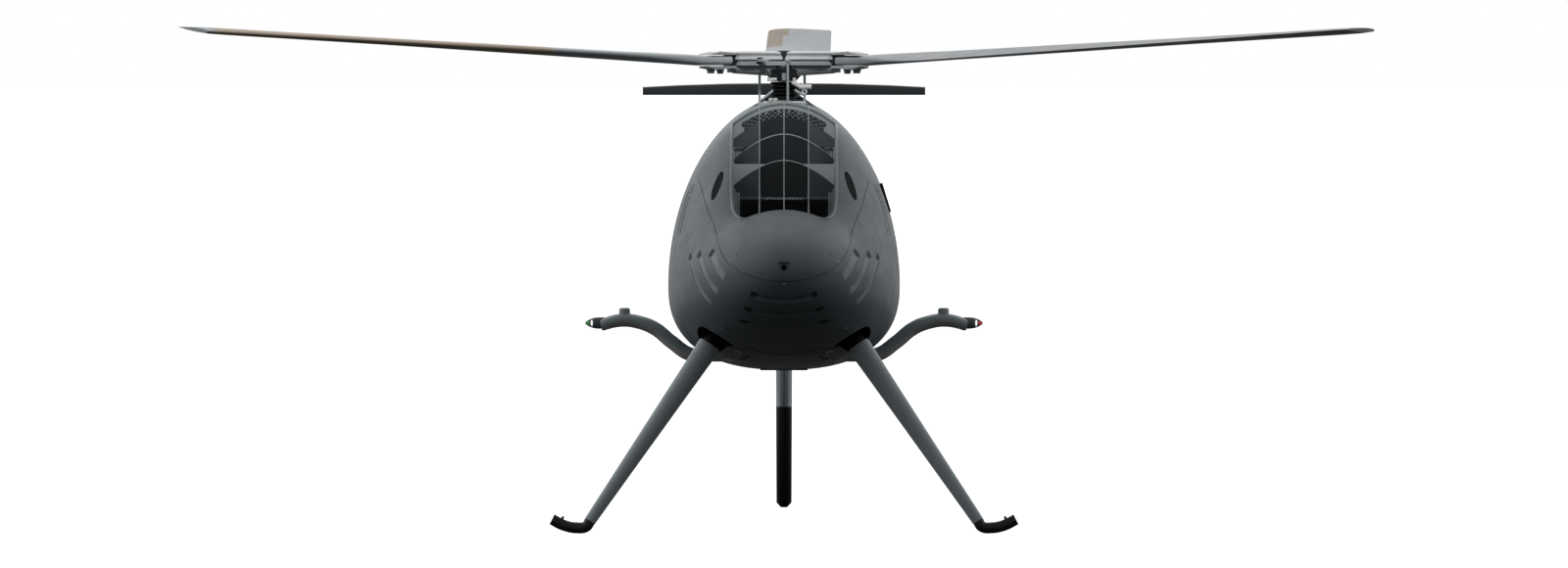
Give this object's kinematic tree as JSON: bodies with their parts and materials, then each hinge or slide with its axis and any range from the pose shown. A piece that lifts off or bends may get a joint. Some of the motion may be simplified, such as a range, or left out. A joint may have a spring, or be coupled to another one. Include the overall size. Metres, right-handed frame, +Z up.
{
  "type": "unmanned helicopter",
  "caption": "Unmanned helicopter with a main rotor on a swashplate, a front air intake, long splayed legs with tube feet, light arms, and a T-tail fin that stands on the ground.",
  "frame": {"origin": "on the ground, below the middle of the whole machine's box", "axes": "+Z up, -Y towards the nose, +X to port"},
  "size_m": [2.9446, 3.2713, 1.2617],
  "materials": {
    "body_paint": "satin mid-grey paint on moulded composite",
    "blade_skin": "satin light grey, with a tan erosion strip on the leading edge",
    "black_rubber": "matt black rubber",
    "dark_plastic": "matt dark grey moulding",
    "dark_metal": "black finned metal",
    "hub_metal": "machined, lightly anodised",
    "red_lens": "clear coloured lens in a dark housing",
    "green_lens": "clear coloured lens in a dark housing"
  },
  "bodies": {
    "airframe": {"belly_plate": "body_paint", "engine_block": "dark_metal", "fin_bumper": "black_rubber", "fin_lower": "body_paint", "fin_upper": "body_paint", "gearbox": "hub_metal", "guard_wire_centre": "hub_metal", "guard_wire_port": "hub_metal", "guard_wire_starboard": "hub_metal", "guide_vane_lower": "dark_plastic", "guide_vane_middle": "dark_plastic", "guide_vane_upper": "dark_plastic", "intake_duct": "dark_plastic", "intake_grille": "dark_plastic", "landing_leg_port": "body_paint", "landing_leg_starboard": "body_paint", "light_arm_port": "body_paint", "light_arm_starboard": "body_paint", "lower_cowl": "body_paint", "main_frame": "dark_metal", "mast_surround": "dark_plastic", "nav_light_port": "red_lens", "nav_light_starboard": "green_lens", "nose_camera": "dark_plastic", "nose_cowl": "body_paint", "radiator": "dark_metal", "rear_fuselage": "body_paint", "service_connector": "dark_plastic", "side_vent_port": "dark_plastic", "side_vent_starboard": "dark_plastic", "skid_foot_port": "black_rubber", "skid_foot_starboard": "black_rubber", "swashplate_fixed": "hub_metal", "tail_boom": "body_paint", "tail_gearbox": "hub_metal", "tailplane": "body_paint"},
    "main_rotor": {"blade_grip_aft": "hub_metal", "blade_grip_port": "hub_metal", "blade_grip_starboard": "hub_metal", "hub_cap": "hub_metal", "main_blade_aft": "blade_skin", "main_blade_port": "blade_skin", "main_blade_starboard": "blade_skin", "mast_boot": "black_rubber", "pitch_link_aft": "hub_metal", "pitch_link_port": "hub_metal", "pitch_link_starboard": "hub_metal", "rotor_hub": "hub_metal", "rotor_mast": "hub_metal", "swashplate_rotating": "hub_metal"},
    "tail_rotor": {"tail_blade_front": "blade_skin", "tail_blade_rear": "blade_skin", "tail_rotor_hub": "hub_metal"}
  },
  "joints": [
    {"name": "main_rotor_spin", "type": "hinge", "parent": "airframe", "child": "main_rotor", "pos_m": [0, -0.7045, 1.1], "axis": [0, 0, 1], "continuous": true},
    {"name": "tail_rotor_spin", "type": "hinge", "parent": "airframe", "child": "tail_rotor", "pos_m": [0.094, 1.3555, 0.7265], "axis": [1, 0, 0], "continuous": true}
  ],
  "couplings": [
    {"joint": "tail_rotor_spin", "follows": "main_rotor_spin", "ratio": -5}
  ]
}
